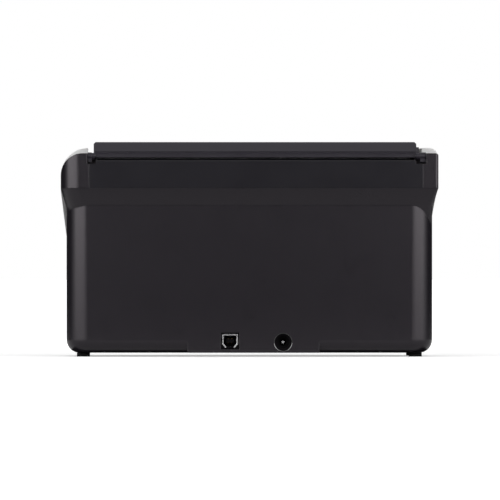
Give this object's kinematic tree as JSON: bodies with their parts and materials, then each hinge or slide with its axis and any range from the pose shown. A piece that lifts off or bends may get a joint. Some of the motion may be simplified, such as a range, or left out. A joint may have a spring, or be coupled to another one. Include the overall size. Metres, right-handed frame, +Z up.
{
  "type": "sheet-fed scanner",
  "caption": "Desktop sheet-fed document scanner, folded shut: boxy black housing with a wider head, flat lid tray on top, hinged front cover, and a drawer for scanned sheets.",
  "frame": {"origin": "centre of the bounding box in plan, at the height of the feet's undersides", "axes": "+Z up, -Y the front where the user stands, +Y the rear with the sockets, +X the user's right"},
  "size_m": [0.292, 0.16, 0.166],
  "materials": {
    "black_plastic": "fine matte texture",
    "light_plastic": "satin",
    "tray_plastic": "fine matte texture",
    "guide_plastic": "smooth",
    "gloss_black": "glossy",
    "button_plastic": "satin",
    "gear_plastic": "moulded",
    "rubber": "matte",
    "foot_rubber": "matte",
    "steel": "ground",
    "black_sheet": "black painted sheet",
    "bright_metal": "plated",
    "brass": "sintered",
    "scan_glass": "polished",
    "lens": "clear",
    "board_green": "solder mask",
    "motor_metal": "painted can"
  },
  "bodies": {
    "housing": {"rear_cover": "black_plastic", "rear_upper_panel": "black_plastic", "right_side_cover": "black_plastic", "left_side_cover": "black_plastic", "right_top_cover": "light_plastic", "left_top_cover": "light_plastic", "bottom_pan": "black_plastic", "rubber_feet": "foot_rubber", "casing_screws": "steel", "right_side_frame": "black_sheet", "left_side_frame": "black_sheet", "shaft_bushes": "brass", "cover_pivot_pins": "steel", "cross_brace": "black_sheet", "drive_motor": "motor_metal", "feed_ramp": "guide_plastic", "rack_retainer": "guide_plastic", "lower_guide": "guide_plastic", "lower_scan_unit": "guide_plastic", "lower_glass": "scan_glass", "main_board": "board_green", "usb_shell": "bright_metal", "usb_tongue": "gloss_black", "power_jack": "gloss_black", "jack_pin": "bright_metal"},
    "tray": {"input_tray": "tray_plastic", "tray_inner_panel": "tray_plastic", "tray_hinge_pins": "steel"},
    "tray_slider": {"tray_extension": "guide_plastic"},
    "cover": {"front_cover": "light_plastic", "cover_guide": "guide_plastic", "control_panel": "gloss_black", "status_lens": "lens", "brake_bracket": "black_sheet", "upper_scan_unit": "guide_plastic", "upper_glass": "scan_glass"},
    "scan_key": {"scan_button": "button_plastic"},
    "stop_key": {"stop_button": "button_plastic"},
    "feed_drive": {"feed_shaft": "steel", "feed_rollers": "rubber", "feed_gear": "gear_plastic"},
    "eject_drive": {"eject_shaft": "steel", "eject_rollers": "rubber", "eject_gear": "gear_plastic"},
    "pick_drive": {"pick_shaft": "steel", "pick_rollers": "rubber", "pick_gear": "gear_plastic"},
    "eject_idler_wheel": {"eject_idler_gear": "gear_plastic"},
    "pick_idler_wheel": {"pick_idler_gear": "gear_plastic"},
    "motor_rotor": {"motor_pinion": "brass"},
    "feed_pinch": {"feed_idlers": "rubber"},
    "eject_pinch": {"eject_idlers": "rubber"},
    "brake": {"brake_roller": "rubber"},
    "right_guide": {"right_side_guide": "guide_plastic"},
    "left_guide": {"left_side_guide": "guide_plastic"},
    "guide_wheel": {"guide_pinion": "gear_plastic"},
    "drawer": {"output_drawer": "tray_plastic"},
    "drawer_slider": {"output_extension": "guide_plastic"},
    "stop_flap": {"paper_stop": "guide_plastic"}
  },
  "joints": [
    {"name": "input_tray_hinge", "type": "hinge", "parent": "housing", "child": "tray", "pos_m": [0, 0.075, 0.155], "axis": [-1, 0, 0], "range_deg": [0, 130]},
    {"name": "tray_extension_slide", "type": "slide", "parent": "tray", "child": "tray_slider", "axis": [0, -1, 0], "range_m": [0, 0.095]},
    {"name": "front_cover_hinge", "type": "hinge", "parent": "housing", "child": "cover", "pos_m": [0, -0.06, 0.056], "axis": [1, 0, 0], "range_deg": [0, 80]},
    {"name": "scan_button_press", "type": "slide", "parent": "cover", "child": "scan_key", "axis": [0, 1, 0], "range_m": [0, 0.001], "stiffness_N_per_m": 400},
    {"name": "stop_button_press", "type": "slide", "parent": "cover", "child": "stop_key", "axis": [0, 1, 0], "range_m": [0, 0.001], "stiffness_N_per_m": 400},
    {"name": "feed_spin", "type": "hinge", "parent": "housing", "child": "feed_drive", "pos_m": [-0.00425, -0.00579, 0.08227], "axis": [1, 0, 0], "continuous": true},
    {"name": "eject_spin", "type": "hinge", "parent": "housing", "child": "eject_drive", "pos_m": [-0.00425, -0.02692, 0.05315], "axis": [1, 0, 0], "continuous": true},
    {"name": "pick_spin", "type": "hinge", "parent": "housing", "child": "pick_drive", "pos_m": [-0.00425, 0.0102, 0.0997], "axis": [1, 0, 0], "continuous": true},
    {"name": "eject_idler_spin", "type": "hinge", "parent": "housing", "child": "eject_idler_wheel", "pos_m": [0.1285, -0.01683, 0.06805], "axis": [1, 0, 0], "continuous": true},
    {"name": "pick_idler_spin", "type": "hinge", "parent": "housing", "child": "pick_idler_wheel", "pos_m": [0.1285, 0.01015, 0.0837], "axis": [1, 0, 0], "continuous": true},
    {"name": "motor_spin", "type": "hinge", "parent": "housing", "child": "motor_rotor", "pos_m": [0.13, 0.01673, 0.06927], "axis": [1, 0, 0], "continuous": true},
    {"name": "feed_pinch_spin", "type": "hinge", "parent": "cover", "child": "feed_pinch", "pos_m": [-0.00425, -0.01736, 0.09066], "axis": [1, 0, 0], "continuous": true},
    {"name": "eject_pinch_spin", "type": "hinge", "parent": "cover", "child": "eject_pinch", "pos_m": [-0.00425, -0.03849, 0.06154], "axis": [1, 0, 0], "continuous": true},
    {"name": "brake_spin", "type": "hinge", "parent": "cover", "child": "brake", "pos_m": [-0.00425, -0.0031, 0.115], "axis": [1, 0, 0], "continuous": true},
    {"name": "right_guide_slide", "type": "slide", "parent": "housing", "child": "right_guide", "axis": [-1, 0, 0], "range_m": [0, 0.084]},
    {"name": "left_guide_slide", "type": "slide", "parent": "housing", "child": "left_guide", "axis": [1, 0, 0], "range_m": [0, 0.084]},
    {"name": "guide_pinion_spin", "type": "hinge", "parent": "housing", "child": "guide_wheel", "pos_m": [-0.00425, 0.04, 0.1311], "axis": [0, -0.5125, 0.8587], "range_deg": [0, 602]},
    {"name": "output_drawer_slide", "type": "slide", "parent": "housing", "child": "drawer", "axis": [0, -1, 0], "range_m": [0, 0.12]},
    {"name": "output_extension_slide", "type": "slide", "parent": "drawer", "child": "drawer_slider", "axis": [0, -1, 0], "range_m": [0, 0.11]},
    {"name": "paper_stop_hinge", "type": "hinge", "parent": "drawer_slider", "child": "stop_flap", "pos_m": [-0.00425, -0.071, 0.0156], "axis": [1, 0, 0], "range_deg": [0, 100]}
  ],
  "couplings": [
    {"joint": "eject_spin", "follows": "feed_spin", "ratio": 1},
    {"joint": "pick_spin", "follows": "feed_spin", "ratio": 1},
    {"joint": "eject_idler_spin", "follows": "feed_spin", "ratio": -1.25},
    {"joint": "pick_idler_spin", "follows": "feed_spin", "ratio": -1.6667},
    {"joint": "motor_spin", "follows": "feed_spin", "ratio": -3.3333},
    {"joint": "feed_pinch_spin", "follows": "feed_spin", "ratio": -1.3333},
    {"joint": "eject_pinch_spin", "follows": "feed_spin", "ratio": -1.3333},
    {"joint": "brake_spin", "follows": "feed_spin", "ratio": -1.2222},
    {"joint": "left_guide_slide", "follows": "right_guide_slide", "ratio": 1},
    {"joint": "guide_pinion_spin", "follows": "right_guide_slide", "rad_per_m": 125}
  ]
}
